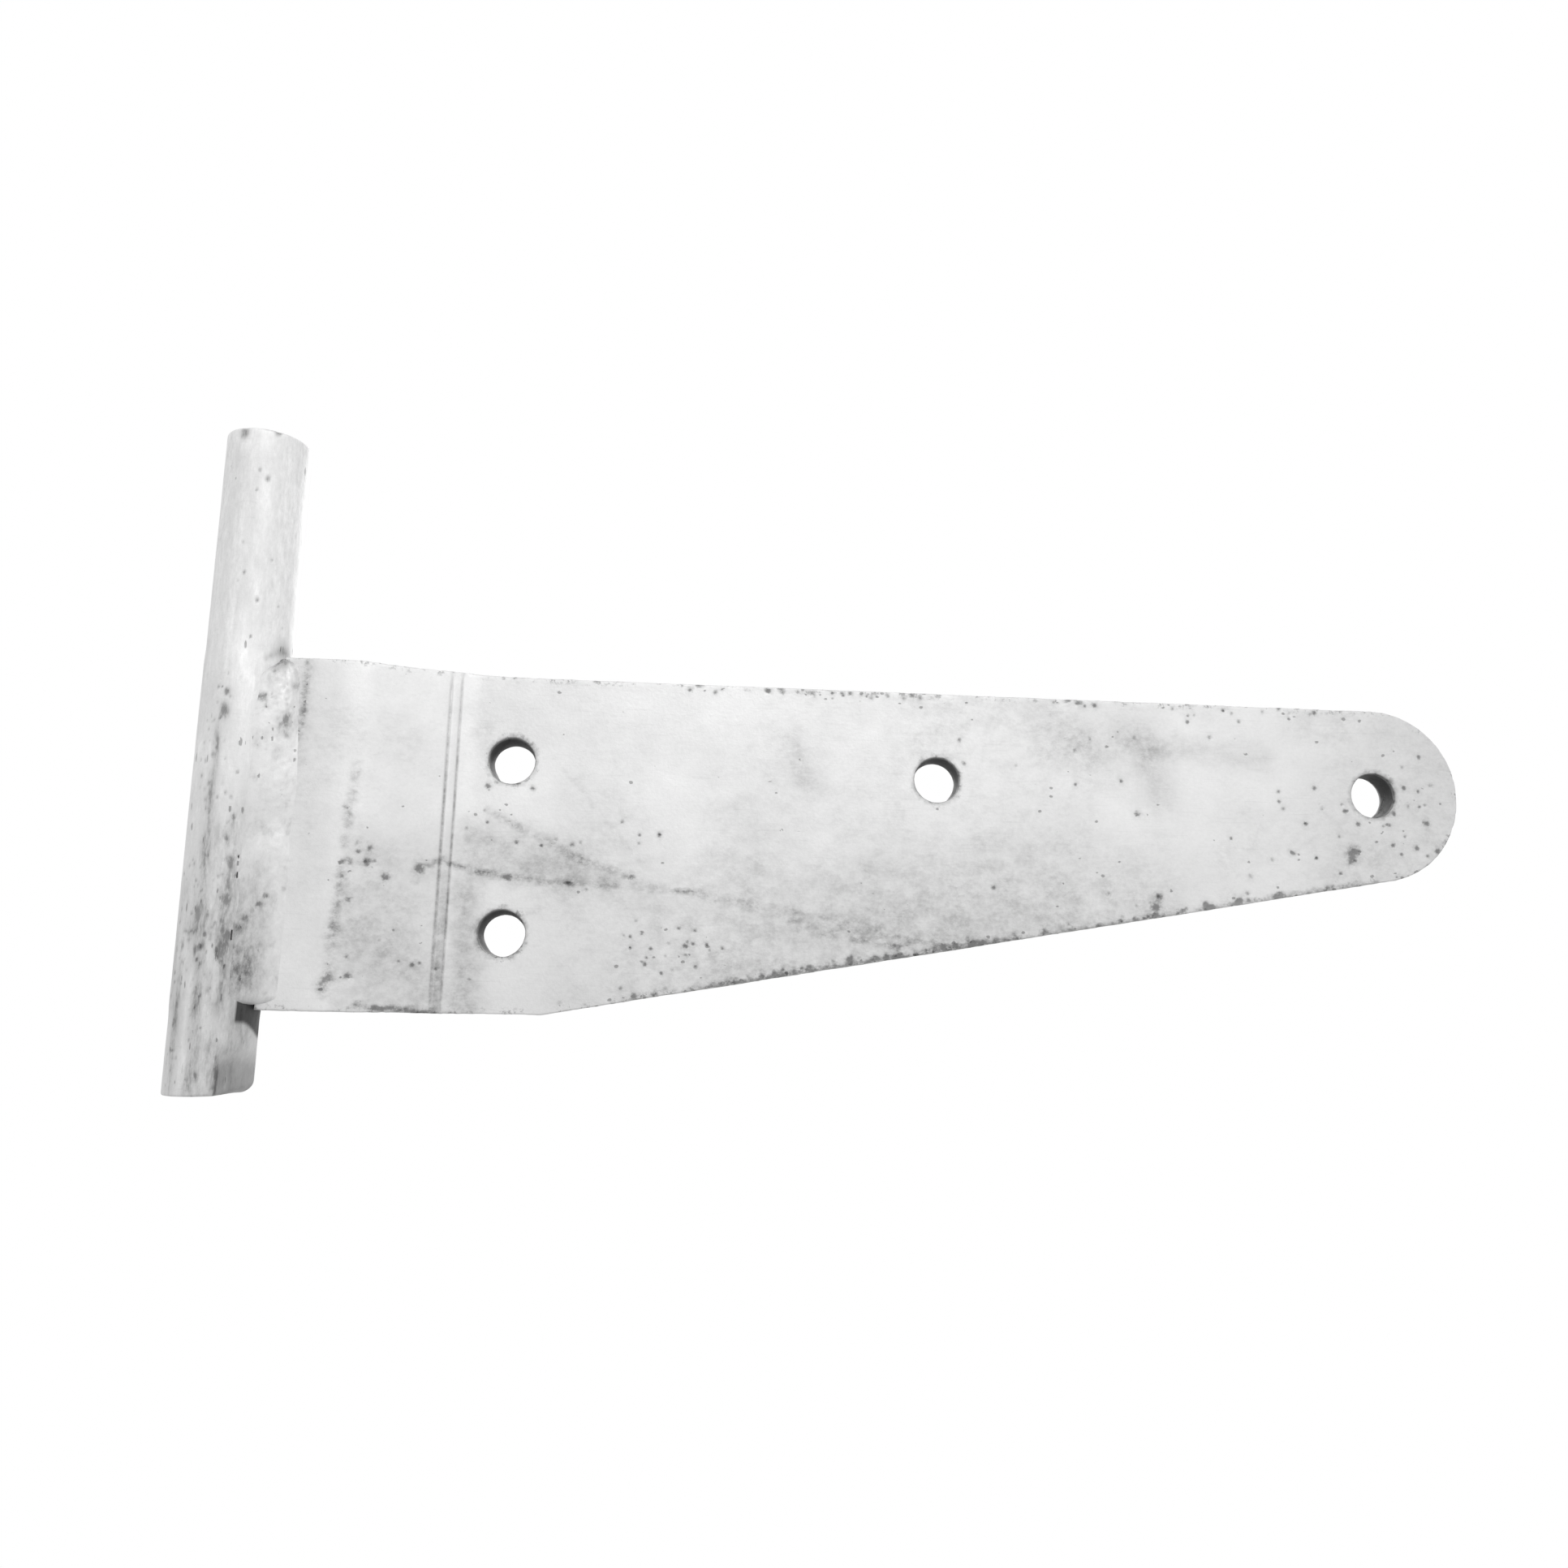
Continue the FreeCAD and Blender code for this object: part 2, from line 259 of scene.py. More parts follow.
# ---- the plate's relief ----

CREASES = (49.1, 51.5)
CREASE_ROWS = (-0.8, -0.5, -0.25, 0.0, 0.25, 0.5, 0.8)
CREASE_DEPTH, CREASE_WIDTH = 0.3, 0.3

# Dents and pits hammered or etched into the open face: distance, height, radius, depth.
DENTS = (
    (286, -38, 1.3, 0.45), (285.4, -40.4, 1.1, 0.35), (233.4, -51.6, 0.8, 0.3),
    (232.6, -54.2, 1.1, 0.35), (228, -30, 0.7, 0.25), (44.4, -50.7, 1.2, 0.1),
    (33.3, -49.9, 1.0, 0.3), (37.5, -53.2, 0.9, 0.3), (97, -51, 0.7, 0.2),
)

# Patches of small pits where the zinc has taken badly, among them the ones along the top and
# tapering edges: middle, spread, slope, count, largest radius.
DENT_PATCHES = (
    ((109, -70), (8, 5), 0, 26, 0.5), ((299, -27), (7, 10), 0, 26, 0.65),
    ((284, -34), (9, 8), 0, 22, 0.6), ((64, -33), (5, 6), 0, 8, 0.65),
    ((78, -44), (12, 4), 0, 10, 0.65), ((30, -62), (2.2, 16), 0, 12, 0.65),
    ((40, -74), (8, 6), 0, 8, 0.65), ((215, -12), (18, 6), 0, 10, 0.6),
    ((235, -52), (30, 7), 0, 12, 0.65), ((142, -1.2), (17, 0.5), 0, 30, 0.6),
    ((211, -1.2), (4, 0.6), 0, 9, 0.6), ((262, -1.5), (16, 0.8), 0, 16, 0.55),
    ((150, -71.4), (28, 0.7), 0.1835, 46, 0.75), ((240, -54.9), (28, 0.7), 0.1835, 40, 0.75),
)


def scattered_dents():
    """The patches' dents, drawn at random but always the same."""
    draw = random.Random(SEED)
    dents = []
    for (x, z), (wide, tall), slope, count, largest in DENT_PATCHES:
        for _ in range(count):
            away = draw.gauss(0, wide)
            dents.append((x + away, draw.gauss(z, tall) + slope * away,
                          draw.uniform(0.4, largest), draw.uniform(0.06, 0.2)))
    return dents


def open_relief(along, up, to_edge, dents):
    """How far the open face stands proud of flat; below zero is sunk."""
    flat = np.stack([along, up, 0 * along], 1)
    proud = 0.06 * waves(flat, 38, 1, 2) + 0.025 * waves(flat, 9, 2, 3)
    fade = smooth(to_edge, 1.0, 4.5)
    for x in CREASES:
        proud -= CREASE_DEPTH * fade * bell(along - flat_distance(x), CREASE_WIDTH)
    between = flat_distance(sum(CREASES) / 2)
    proud += 0.12 * fade * bell(along - between, 0.9)
    for x, z, radius, depth in dents:
        proud -= depth * bell(np.hypot(along - x, up - z), radius)
    return proud


# ---- the plate ----

EDGE_ROUND, RIM_ROUND = 0.45, 0.35
# How far the edges of the plate and of its holes are worn back.
EDGE_WEAR, RIM_WEAR = 0.10, 0.05
ROUND_STEPS, WALL_STEPS = 4, 7
# The faces' points: their spacing, how far they keep from the outline and from the holes, and
# the rings of points round each dent, as shares of its radius.
FACE_STEP = 1.1
EDGE_CLEAR, HOLE_CLEAR = 0.45, 0.35
DENT_RINGS, DENT_POINTS = (0.5, 1.0, 1.6), 6


def face_points(rings):
    """Points for the inside of the plate's faces: a grid, the creases and the dents."""
    outer, holes = rings[0], rings[1:]
    dents = [(flat_distance(d[0]) if d[0] < LAST_BEND else d[0],) + d[1:]
             for d in DENTS + tuple(scattered_dents())]
    heights = np.arange(-WIDTH + EDGE_ROUND + 0.6, -EDGE_ROUND - 0.5, 0.8)
    creases = [np.stack([np.full(len(heights), flat_distance(x) + row), heights], 1)
               for x in CREASES for row in CREASE_ROWS]
    turns = np.arange(DENT_POINTS) * math.tau / DENT_POINTS
    fine = [np.array([(x, z)] + [(x + reach * math.cos(t), z + reach * math.sin(t))
                                 for reach in (share * radius for share in DENT_RINGS)
                                 for t in turns])
            for x, z, radius, _ in dents]
    across = np.arange(FLAT_BUTT + FACE_STEP, STRAP_HIGH.x, FACE_STEP)
    upward = np.arange(-WIDTH + FACE_STEP, 0, FACE_STEP)
    grid = np.array([(x + FACE_STEP / 2 * (row % 2), z)
                     for row, z in enumerate(upward) for x in across])
    for x in CREASES:
        grid = grid[np.abs(grid[:, 0] - flat_distance(x)) > CREASE_ROWS[-1] + 0.4]
    for x, z, radius, _ in dents:
        grid = grid[np.hypot(grid[:, 0] - x, grid[:, 1] - z) > 2 * radius]
    points = np.concatenate(creases + fine + [grid])
    clear = inside(points, outer) & (distance_to_loop(points, outer) > EDGE_CLEAR)
    for hole in holes:
        clear &= ~inside(points, hole) & (distance_to_loop(points, hole) > HOLE_CLEAR)
    return points[clear], dents


# Twice the area, in square millimetres, below which a triangle along a ring is left out.
SLIVER = 0.003


def triangulate(rings, extra):
    """Triangles between the rings: the first is the outside, the others are holes."""
    points, edges = [], []
    for ring in rings:
        first, count = len(points), len(ring)
        points += [tuple(p) for p in ring]
        edges += [(first + i, first + (i + 1) % count) for i in range(count)]
    on_rings = len(points)
    points += [tuple(p) for p in extra]
    made = delaunay_2d_cdt([Vector(p) for p in points], edges, [], 0, 1e-7)
    flat, triangles, sources = made[0], made[2], made[3]
    origin = {new: min(old) for new, old in enumerate(sources) if old}
    corners = np.array([tuple(p) for p in flat])[np.array(triangles)]
    middles = corners.mean(1)
    first_side, last_side = corners[:, 1] - corners[:, 0], corners[:, 2] - corners[:, 0]
    twice_area = first_side[:, 0] * last_side[:, 1] - first_side[:, 1] * last_side[:, 0]
    triangles = np.array([[origin[i] for i in t] for t in triangles])
    sliver = (triangles < on_rings).all(1) & (abs(twice_area) < SLIVER)
    keep = inside(middles, rings[0]) & ~sliver
    for hole in rings[1:]:
        keep &= ~inside(middles, hole)
    return points, [tuple(int(i) for i in t) for t in triangles[keep]]


def side_rows(rounding, front_rounding):
    """Distance in from the edge and height of each row, from the open face to the bolted one."""
    quarter = np.linspace(0, math.pi / 2, ROUND_STEPS + 1)
    front = [(front_rounding * (1 - math.sin(q)), -HALF + front_rounding * (1 - math.cos(q)))
             for q in quarter]
    back = [(rounding * (1 - math.sin(q)), HALF - rounding * (1 - math.cos(q)))
            for q in quarter[::-1]]
    levels = np.linspace(front[-1][1], back[0][1], WALL_STEPS + 1)[1:-1]
    return front + [(0.0, level) for level in levels] + back


def make_strap():
    """The plate: made flat, with its relief and its holes, then bent through the crank."""
    loops = [divided(plate_outline(), OUTLINE_STEP)]
    turns = -np.arange(HOLE_POINTS) * math.tau / HOLE_POINTS
    for x, z in hole_centres():
        loops.append(np.stack([x + HOLE_RADIUS * np.cos(turns),
                               z + HOLE_RADIUS * np.sin(turns)], 1))
    rounds = [EDGE_ROUND] + [RIM_ROUND] * (len(loops) - 1)
    rings = [loop + inward(loop) * rounding for loop, rounding in zip(loops, rounds)]
    extra, dents = face_points(rings)
    face, triangles = triangulate(rings, extra)
    face = np.array(face)

    # The open face, then the bolted face, then the rows of points between them.
    to_edge = np.min([distance_to_loop(face, loop) for loop in loops], 0)
    to_outline = distance_to_loop(face, loops[0])
    proud = open_relief(face[:, 0], face[:, 1], to_outline, dents)
    back = 0.05 * waves(np.stack([face[:, 0], face[:, 1], 0 * to_edge], 1), 30, 5, 3) - 0.06
    along = [face[:, 0], face[:, 0]]
    up = [face[:, 1], face[:, 1]]
    height = [-HALF - proud, HALF + np.minimum(back, 0)]
    edge = [bell(to_edge, 2.2)] * 2
    soot = [np.zeros(len(face))] * 2
    faces = list(triangles)
    faces += [tuple(i + len(face) for i in reversed(t)) for t in triangles]
    total, first = 2 * len(face), 0
    for number, (loop, rounding) in enumerate(zip(loops, rounds)):
        count = len(loop)
        toward = inward(loop)
        is_hole = number > 0
        front_row = np.arange(first, first + count)
        previous = front_row
        rows = side_rows(rounding, rounding)[1:-1]
        reach = RIM_WEAR if is_hole else EDGE_WEAR
        for distance, level in rows:
            rough = waves(np.stack([loop[:, 0], loop[:, 1], np.full(count, level * 2)], 1), 1.7, 8)
            slow = waves(np.stack([loop[:, 0], loop[:, 1], np.zeros(count)], 1), 11, 9)
            wear = np.clip(reach * (0.6 + rough + 0.8 * slow), 0, None)
            if is_hole:
                # Zinc lines each hole towards the back, and has gathered under its top.
                lined = smooth(level, -HALF + 0.4, 1) * (1 - smooth(level, 2.8, HALF - 0.2))
                share = 0.4 * smooth(toward[:, 1], -0.95, -0.5) + 0.6 * np.clip(toward[:, 1], 0, 1)
                wear = wear - HOLE_RUNS[number - 1] * lined * share
            moved = loop + toward * (distance + wear)[:, None]
            along.append(moved[:, 0])
            up.append(moved[:, 1])
            height.append(np.clip(level + 0.04 * rough, -HALF, HALF))
            edge.append(np.ones(count))
            # The holes' walls get deep painted shade, near black.
            walled = smooth(HALF - abs(level), rounding * 0.3, rounding + 0.3)
            soot.append(np.full(count, walled if is_hole else 0.0))
            row = np.arange(total, total + count)
            total += count
            faces += ladder(row, previous)
            previous = row
        faces += ladder(front_row + len(face), previous)
        first += count

    # Bending has pushed the plate's edges out a little, on the inside of each bend.
    along, up, height = map(np.concatenate, (along, up, height))
    last = bell(along - (LAST_BEND - BEND_LENGTH * 0.8), 8) * (0.5 - height / PLATE)
    first = bell(along - (RAMP_START - BEND_LENGTH * 0.5), 8) * (0.5 + height / PLATE)
    up = up + 0.5 * (last + first) * (bell(up, 5) - 0.6 * bell(up + WIDTH, 5))
    places = bend(along, height, up)
    grime, shade = strap_grime(along, up, height, dents)
    return new_piece("strap_leaf", places, faces, "strap_zinc", "strap_plate",
                     grime=grime, shade=shade,
                     speckle=strap_speckle(along, up, height, loops[0]),
                     edge=np.concatenate(edge), soot=np.concatenate(soot))


def ladder(row, following):
    """Quads between two closed rows with as many points."""
    return [(row[i - 1], row[i], following[i], following[i - 1]) for i in range(len(row))]


# How much darker the surfaces that face straight up are drawn: a painted shade.
TOP_SHADE = 0.4
# How far from the plate's middle the look of its edge gives way to that of a face.
FACE_SKIN = (HALF - 1.4, HALF - 0.5)

# Dark marks on the open face: start, end, width and strength of each stroke. Those wider than
# BROAD_STROKE are even shadings, and the others are ragged. Most are dirt and stains, but some
# are painted shade: the line along the lower rim at the foot of the crank, the lines down its
# first bend, the grey on its lower part, the grey strip beside the creases' lower end and the
# line along the weld's toe.
BROAD_STROKE = 2.5
STROKES = (
    ((51, -49), (66, -52), 0.6, 0.85), ((66, -52), (81, -53), 0.6, 0.55),
    ((81, -53), (112, -54), 0.5, 0.45), ((60, -50), (92, -52), 3.2, 0.2),
    ((112, -54), (160, -62), 0.7, 0.25), ((95, -51), (168, -67), 0.6, 0.22),
    ((150, -62), (184, -67), 0.6, 0.45), ((140, -63), (170, -67), 0.5, 0.35),
    ((60, -35), (84, -47), 0.9, 0.4), ((84, -47), (97, -51), 0.8, 0.45),
    ((55, -42), (80, -47), 6.0, 0.28), ((55, -54), (57, -84), 5.0, 0.36),
    ((44, -54), (45, -50), 0.7, 0.6), ((45, -50), (50, -48), 0.7, 0.6),
    ((205, -8), (217, -14), 6.0, 0.22), ((228, -10), (234, -24), 5.5, 0.26),
    ((234, -12), (262, -14), 4.5, 0.2), ((138, -16), (142, -26), 5.0, 0.16),
    ((33, -84.4), (50, -86), 0.6, 1.0), ((29.5, -26), (28, -46), 0.8, 0.3),
    ((28, -52), (27.3, -66), 0.9, 0.36), ((27.3, -66), (26, -82), 1.0, 0.3),
    ((34, -70), (48, -82), 7.0, 0.15), ((25, -80), (27, -78), 1.0, 0.7),
    ((70, -62), (90, -52), 0.5, 0.12), ((75, -20), (100, -48), 0.5, 0.08),
    ((15.9, -1), (15.7, -14), 0.7, 0.5), ((15.7, -14), (14.6, -22), 0.7, 0.45),
    ((16.6, -3), (15.6, -26), 2.6, 0.12),
    ((96, -81.6), (292, -45.8), 0.5, 0.5), ((120, -77.2), (196, -63.2), 0.6, 0.5),
)


def ramp_shade(along, up):
    """Painted shade over the lower part of the crank, sharp where the plate starts to bend."""
    start, finish = flat_distance(26.5), flat_distance(46)
    return (smooth(along, start, start + 2) * (1 - smooth(along, finish, finish + 7))
            * smooth(-up, 36, 50))


def strap_grime(along, up, height, dents):
    """How dark each point of the plate is drawn, ragged and evenly greyed, from 0 to about 1:
    mostly dirt and stains, and in places painted shade.
    """
    flat = np.stack([along, up, height], 1)
    grime = 0.09 * (1 + waves(flat, 26, 3, 4))
    shade = 0.04 * (1 + waves(flat, 30, 4, 3))
    points = flat[:, :2]
    front, behind = smooth(-height, *FACE_SKIN), smooth(height, *FACE_SKIN)
    for start, end, width, strength in STROKES:
        a, b = (np.array((flat_distance(p[0]) if p[0] < LAST_BEND else p[0], p[1]))
                for p in (start, end))
        share = np.clip(((points - a) @ (b - a)) / ((b - a) @ (b - a)), 0, 1)
        off = np.linalg.norm(points - a - share[:, None] * (b - a), axis=1)
        stroke = strength * bell(off, width) * front
        if width > BROAD_STROKE:
            shade += stroke
        else:
            grime += stroke
    for x, z, radius, depth in dents:
        spot = bell(np.hypot(along - x, up - z), radius)
        grime += 1.4 * spot * smooth(depth, 0, 0.2) * front
    # Painted shade along the creases, over the punch's scored lines, and down the strip between
    # them low down, at the foot of the crank's step.
    for x in CREASES:
        scored = bell(along - flat_distance(x), CREASE_WIDTH) * bell(up + WIDTH / 2, WIDTH * 0.48)
        grime += 0.3 * scored * front
        shade += 0.4 * scored * front
    between = bell(along - flat_distance(sum(CREASES) / 2), 1.3)
    shade += 0.4 * between * smooth(-up, 40, 66) * front
    shade += 0.17 * ramp_shade(along, up) * front
    # Painted shade on the lower blade, which the lamps reach less; the blade is also darker
    # towards its tip and a little over its middle.
    low_blade = smooth(-up, 25, 60) * smooth(along, 60, 100) * (1 - smooth(along, 210, 260))
    shade += (0.22 * low_blade + 0.15 * smooth(along, 262, 285)) * front
    shade += 0.07 * smooth(along, 110, 190) * (1 - smooth(along, 190, 250)) * front
    # A darker ring round each hole's rim: painted shade where the face rolls into the hole.
    for x, z in hole_centres():
        shade += 0.6 * bell(np.hypot(along - x, up - z) - HOLE_RADIUS, 0.5) * front
    # Painted shade on the plate's top edge, which faces straight up.
    shade += TOP_SHADE * smooth(up, -0.6, -0.1) * (1 - front)
    grime += 0.12 * behind * smooth(waves(flat, 34, 6, 6), -0.1, 0.9)
    return grime, shade


# Where the open face is thick with specks: distance, height, reach along, reach up, share.
SPECKLES = (
    (298, -24, 12, 13, 0.30), (109, -71, 10, 6, 0.35), (65, -34, 8, 5, 0.25),
    (38, -60, 9, 16, 0.10), (225, -14, 24, 5, 0.10), (236, -46, 34, 7, 0.10),
    (140, -24, 10, 6, 0.06), (142, -1, 32, 1.6, 0.6), (211, -1, 5, 1.6, 0.5),
    (262, -1, 26, 1.6, 0.35), (200, -1, 110, 2.4, 0.10),
)


def strap_speckle(along, up, height, outline):
    """What share of the places for a speck has one, at each point of the plate."""
    speckle = np.where(height < 0, 0.012, 0.03)
    for x, z, wide, tall, share in SPECKLES:
        speckle += share * bell(np.hypot((along - x) / wide, (up - z) / tall), 1) * (height < 0)
    rim = bell(distance_to_loop(np.stack([along, up], 1), outline), 1.6)
    taper = smooth(along, 84, 100) * (up < -30)
    return speckle + 0.5 * rim * taper


# ---- the pin ----

PIN_POINTS = 200
PIN_STEP = 0.45
TOP_ROUND, FOOT_ROUND, FOOT_ROLL = 0.8, 0.4, 2.6
# The flat at the pin's lower end: its two sides, in degrees, and its height above the end.
FACET_FROM, FACET_TO, FACET_TOP = -63.0, 10.0, 10.2
CAP_SHARES = (0.96, 0.88, 0.74, 0.58, 0.42, 0.26, 0.12)

# Pits in the pin's zinc: angle, height, radius, depth.
PITS = (
    (-95, -15.4, 1.1, 0.5), (-93, -10.6, 0.6, 0.35), (-104, -26, 0.5, 0.3),
    (-62, -68.6, 0.7, 0.3), (-66, -71, 0.8, 0.35), (-71, -73, 0.7, 0.3), (-127, -71.5, 0.8, 0.4),
    (-4, 0.9, 0.7, 0.06), (-11, 1.1, 0.8, 0.08), (-18, 1.1, 0.8, 0.1), (-25, 0.9, 0.8, 0.12),
    (-32, 0.4, 0.7, 0.13), (-39, -0.4, 0.7, 0.13), (-46, -1.4, 0.6, 0.1),
    (-95, -71.4, 0.7, 0.4), (-69, -51, 0.7, 0.35), (-67, -60.6, 0.7, 0.35), (-107, 55.6, 1.2, 0.5),
    (-58, 56.6, 0.7, 0.5), (-67, 43.7, 0.5, 0.2), (-85, -101, 0.7, 0.3),
)

# Runs down the pin, darker above zero and lighter below: angle, foot, head, width, strength.
# The narrow dark ones are mostly zinc runs and dirt, and the narrow lighter ones low on the left
# are painted highlight. Those wider than BROAD_STROKE are even painted shade and painted
# highlight: the shadow just above the weld's top end, the darker lower bar and its flat, the
# dimmed middle and the lighter right side of the upper bar.
PIN_RUNS = (
    (-101, -66, -20, 1.1, 0.36), (-123, -104, -76, 0.9, 0.3), (-105, -105, -78, 1.3, -0.4),
    (-68, -84, -40, 1.2, 0.18), (-93, -104, -82, 0.9, 0.3), (-62, -106, -95, 0.55, 0.7),
    (-84, 12, 50, 2.0, 0.12), (-18, 1, 3, 2.6, 0.22), (-112, -16, 50, 2.2, 0.1),
    (-30, -82, -50, 3.0, 0.3), (-50, -106, -68, 8.0, 0.2), (-12, -106, -98, 7.5, 0.22),
    (-65, 6, 56, 3.2, 0.2), (-22, 6, 56, 4.0, -0.12), (-118, -104, -70, 1.2, -0.15),
)


def scattered_pits():
    """Small pits, most of them down the pin's front and left below the plate's top edge."""
    draw = random.Random(SEED + 1)
    pits = []
    for middle, spread, low, high, count in ((-100, 14, -104, -6, 90), (-70, 8, -82, -40, 26),
                                             (-125, 10, -104, -50, 36), (-80, 30, -5, 52, 10),
                                             (80, 60, -104, 54, 70)):
        for _ in range(count):
            pits.append((draw.gauss(middle, spread), draw.uniform(low, high),
                         draw.uniform(0.2, 0.38), draw.uniform(0.05, 0.2)))
    return pits


# How dark the painted shadow under the front weld and the painted shade on the pin's lower flat
# are drawn.
WELD_SHADOW_STRENGTH, FOOT_SHADE_STRENGTH = 0.91, 0.37
# The painted shadow's left side, in degrees, and the height of its lower edge there.
SHADOW_LEFT, SHADOW_FLOOR = -43.0, -88.8


def weld_shadow(angle, level):
    """A near-black painted shadow on the pin's flank, right under the front weld's lower end."""
    floor = SHADOW_FLOOR - 3.8 * smooth(angle, SHADOW_LEFT + 8, 12)
    across = smooth(angle, SHADOW_LEFT - 1.5, SHADOW_LEFT + 1.5) * (1 - smooth(angle, 40, 60))
    return (WELD_SHADOW_STRENGTH * across * smooth(level, floor - 0.7, floor + 0.7)
            * (1 - smooth(level, -83, -82)))


def foot_shade(angle, level):
    """The even painted shade of the flat at the pin's lower end, which faces away from the light;
    sharp along its left.
    """
    across = smooth(angle, FACET_FROM, FACET_FROM + 3) * (1 - smooth(angle, 30, 60))
    return FOOT_SHADE_STRENGTH * across * (1 - smooth(level, -101, -95))


def pin_radius(angles, heights):
    """The pin's radius over a grid of angles and heights, then its ragged darkening, dirt and
    painted shade, and its even shade, mostly painted shade and painted highlight.
    """
    angle, level = np.meshgrid(angles, heights)
    welded = smooth(level, PIN_LOW.z + 17, PIN_LOW.z + 22) * (1 - smooth(level, -3, 2))
    radius = JOURNAL - 0.02 + (BARREL - JOURNAL - 0.02) * welded
    around = np.radians(angle)
    places = np.stack([BARREL * np.cos(around), BARREL * np.sin(around), level / 2.5], -1)
    shape = angle.shape
    slow = waves(places.reshape(-1, 3), 9, 11, 3).reshape(shape)
    fine = waves(places.reshape(-1, 3), 1.6, 12, 2).reshape(shape)
    radius -= 0.05 * (1 + slow) + 0.02 * (1 + fine)
    # Darker down the pin's lower front: dirt, and painted shade where plate and weld keep the
    # light off the lower bar. The upper pin keeps only half of its darkening, a painted highlight
    # on the bar's lit top.
    front = bell(turn_from(-70, angle), 75) * smooth(-level, 10, 75)
    on_facet = smooth(angle, FACET_FROM, FACET_FROM + 6) * smooth(-level, 92, 99)
    less_on_top = 1 - 0.5 * smooth(level, 0, 8)
    grime = 0.10 * less_on_top * (1 + slow) + 0.34 * front * (1 - on_facet)
    shade = 0.04 * less_on_top * (1 + slow) + 0.12 * front

    # The flat pressed into the pin's lower end when it was cut off.
    middle, half = (FACET_FROM + FACET_TO) / 2, (FACET_TO - FACET_FROM) / 2
    flat = JOURNAL * math.cos(math.radians(half))
    off = turn_from(middle, angle)
    chord = flat / np.cos(np.radians(np.clip(off, -half - 8, half + 8)))
    pressed = 1 - smooth(level, PIN_LOW.z + FACET_TOP - 4, PIN_LOW.z + FACET_TOP + 2)
    flattened = radius + (np.minimum(radius, chord) - radius) * pressed
    radius = np.where(np.abs(off) < half + 8, flattened, radius)

    for at, height, size, depth in PITS + tuple(scattered_pits()):
        away = np.radians(turn_from(at, angle)) * BARREL
        pit = bell(np.hypot(away, (level - height) * 0.7), size)
        radius -= depth * pit
        grime += 0.9 * pit * smooth(depth, 0, 0.25)
    for at, low, high, width, strength in PIN_RUNS:
        away = np.radians(turn_from(at, angle)) * BARREL
        length = smooth(level, low - 4, low + 2) * (1 - smooth(level, high - 2, high + 4))
        run = strength * bell(away + 0.9 * slow + 0.3 * fine, width) * length
        if width > BROAD_STROKE:
            shade += run
        else:
            grime += run
    return radius, grime, shade


def end_inset(angles, up_from_end, top):
    """How much further in the pin's side lies near an end, where its edge is rounded."""
    if top:
        rounding = np.full(len(angles), TOP_ROUND)
    else:
        # Rolled over on the side towards the plate, and left sharp on the other.
        rounding = FOOT_ROUND + FOOT_ROLL * bell(turn_from(15, angles), 62)
    left = np.clip(1 - up_from_end / rounding, 0, 1)
    return rounding * (1 - np.sqrt(1 - left ** 2))


def make_pin():
    """The round bar, stacked from rings of points, with a sawn cap at each end."""
    angles = np.arange(PIN_POINTS) * 360 / PIN_POINTS - 180
    foot, head = PIN_LOW.z + 0.05, PIN_HIGH.z - 0.05
    foot_rows = foot + np.array([0, 0.04, 0.12, 0.25, 0.42, 0.65, 0.95, 1.3, 1.75, 2.3, 2.9])
    head_rows = head - np.array([0.8, 0.55, 0.35, 0.2, 0.09, 0.02, 0])
    middle_rows = np.arange(foot_rows[-1] + PIN_STEP, head_rows[0] - PIN_STEP / 2, PIN_STEP)
    heights = np.concatenate([foot_rows, middle_rows, head_rows])
    radius, grime, shade = pin_radius(angles, heights)
    around = np.radians(angles)
    lean = 0.25 * np.cos(around - 0.6)
    points, dirt_and_shade_points, faces, soot = [], [], [], []
    rows = []
    for level, ring, soil_and_shade in zip(heights, radius, grime):
        inset = end_inset(angles, level - foot, False) + end_inset(angles, head - level, True)
        bottom = 0.25 * (1 - smooth(level, foot, foot + 5)) * (1 + np.cos(around + 0.5))
        r = ring - inset
        rows.append(np.arange(len(points), len(points) + PIN_POINTS))
        tilt = bottom - (0.25 + lean) * smooth(level, head - 5, head)
        points += list(np.stack([r * np.cos(around), r * np.sin(around), level + tilt], 1))
        dirt_and_shade_points += list(soil_and_shade)
        # Deep painted shade: the weld's shadow on the pin's flank and the shaded flat at its foot.
        soot += list(np.maximum(weld_shadow(angles, level), foot_shade(angles, level)))
    for lower, upper in zip(rows, rows[1:]):
        faces += ladder(lower, upper)
    for rim, sign in ((rows[0], 1), (rows[-1], -1)):
        faces += cap(points, dirt_and_shade_points, rim, sign)
    in_caps = len(points) - len(soot)
    soot += [0.0] * in_caps
    # The top cap takes TOP_SHADE, painted shade on a face that looks straight up.
    dimmed = np.concatenate([shade.ravel(), np.zeros(in_caps // 2),
                             np.full(in_caps // 2, TOP_SHADE)])
    places = np.array(points)
    turn = np.degrees(np.arctan2(places[:, 1], places[:, 0]))
    front_left = bell(turn_from(-100, turn), 34)
    speckle = 0.03 + 0.34 * front_left * smooth(-places[:, 2], 5, 30)
    return new_piece("pin_bar", places, faces, "pin_zinc", "hinge_pin", grime=dirt_and_shade_points,
                     shade=dimmed, speckle=speckle, edge=np.zeros(len(points)), soot=soot)


